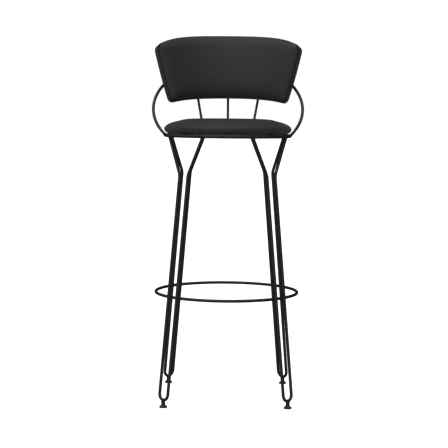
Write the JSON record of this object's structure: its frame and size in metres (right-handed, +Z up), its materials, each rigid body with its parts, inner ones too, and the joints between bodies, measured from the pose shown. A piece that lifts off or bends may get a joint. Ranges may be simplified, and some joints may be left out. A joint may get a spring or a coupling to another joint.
{
  "type": "bar stool with footrest",
  "caption": "Tall bar stool with a round padded seat, curved padded backrest, bent-rod arms, hairpin legs on screw feet and a round foot ring.",
  "frame": {"origin": "on the floor under the middle of the stool's outline box", "axes": "+Z up; the front of the stool faces -Y; -X is the left side as seen by someone facing the stool"},
  "size_m": [0.4174, 0.4632, 0.9864],
  "materials": {
    "frame_paint": "satin",
    "black_leather": "satin",
    "welt_leather": "satin",
    "padding_foam": "matte",
    "plywood": "matte",
    "dust_cloth": "matte",
    "pad_plastic": "matte",
    "zinc_steel": "satin"
  },
  "bodies": {
    "frame": {"arm_loop": "frame_paint", "back_spindle_centre": "frame_paint", "back_spindle_left": "frame_paint", "back_spindle_right": "frame_paint", "backrest_board": "plywood", "backrest_foam": "padding_foam", "backrest_front_cover": "black_leather", "backrest_rear_cover": "black_leather", "backrest_screws": "zinc_steel", "backrest_tee_nuts": "zinc_steel", "backrest_welt": "welt_leather", "foot_ring": "frame_paint", "front_left_foot_boss": "frame_paint", "front_left_leg": "frame_paint", "front_right_foot_boss": "frame_paint", "front_right_leg": "frame_paint", "rail_tabs": "frame_paint", "rear_left_foot_boss": "frame_paint", "rear_left_leg": "frame_paint", "rear_right_foot_boss": "frame_paint", "rear_right_leg": "frame_paint", "seat_board": "plywood", "seat_cover": "black_leather", "seat_dust_cover": "dust_cloth", "seat_foam": "padding_foam", "seat_mounting_cross": "frame_paint", "seat_ring": "frame_paint", "seat_screws": "zinc_steel", "seat_tee_nuts": "zinc_steel"},
    "front_left_pad": {"front_left_foot_pad": "pad_plastic"},
    "front_left_stud": {"front_left_foot_stud": "zinc_steel"},
    "front_right_pad": {"front_right_foot_pad": "pad_plastic"},
    "front_right_stud": {"front_right_foot_stud": "zinc_steel"},
    "rear_left_pad": {"rear_left_foot_pad": "pad_plastic"},
    "rear_left_stud": {"rear_left_foot_stud": "zinc_steel"},
    "rear_right_pad": {"rear_right_foot_pad": "pad_plastic"},
    "rear_right_stud": {"rear_right_foot_stud": "zinc_steel"}
  },
  "joints": [
    {"name": "front_left_foot_travel", "type": "slide", "parent": "frame", "child": "front_left_pad", "axis": [0, 0, -1], "range_m": [0, 0.004]},
    {"name": "front_left_stud_turn", "type": "hinge", "parent": "front_left_pad", "child": "front_left_stud", "pos_m": [-0.16193, -0.19883, 0.01], "axis": [0, 0, -1], "range_deg": [0, 1440]},
    {"name": "front_right_foot_travel", "type": "slide", "parent": "frame", "child": "front_right_pad", "axis": [0, 0, -1], "range_m": [0, 0.004]},
    {"name": "front_right_stud_turn", "type": "hinge", "parent": "front_right_pad", "child": "front_right_stud", "pos_m": [0.16193, -0.19883, 0.01], "axis": [0, 0, -1], "range_deg": [0, 1440]},
    {"name": "rear_left_foot_travel", "type": "slide", "parent": "frame", "child": "rear_left_pad", "axis": [0, 0, -1], "range_m": [0, 0.004]},
    {"name": "rear_left_stud_turn", "type": "hinge", "parent": "rear_left_pad", "child": "rear_left_stud", "pos_m": [-0.16193, 0.12503, 0.01], "axis": [0, 0, -1], "range_deg": [0, 1440]},
    {"name": "rear_right_foot_travel", "type": "slide", "parent": "frame", "child": "rear_right_pad", "axis": [0, 0, -1], "range_m": [0, 0.004]},
    {"name": "rear_right_stud_turn", "type": "hinge", "parent": "rear_right_pad", "child": "rear_right_stud", "pos_m": [0.16193, 0.12503, 0.01], "axis": [0, 0, -1], "range_deg": [0, 1440]}
  ],
  "couplings": [
    {"joint": "front_left_stud_turn", "follows": "front_left_foot_travel", "rad_per_m": 6283.2},
    {"joint": "front_right_stud_turn", "follows": "front_right_foot_travel", "rad_per_m": 6283.2},
    {"joint": "rear_left_stud_turn", "follows": "rear_left_foot_travel", "rad_per_m": 6283.2},
    {"joint": "rear_right_stud_turn", "follows": "rear_right_foot_travel", "rad_per_m": 6283.2}
  ]
}
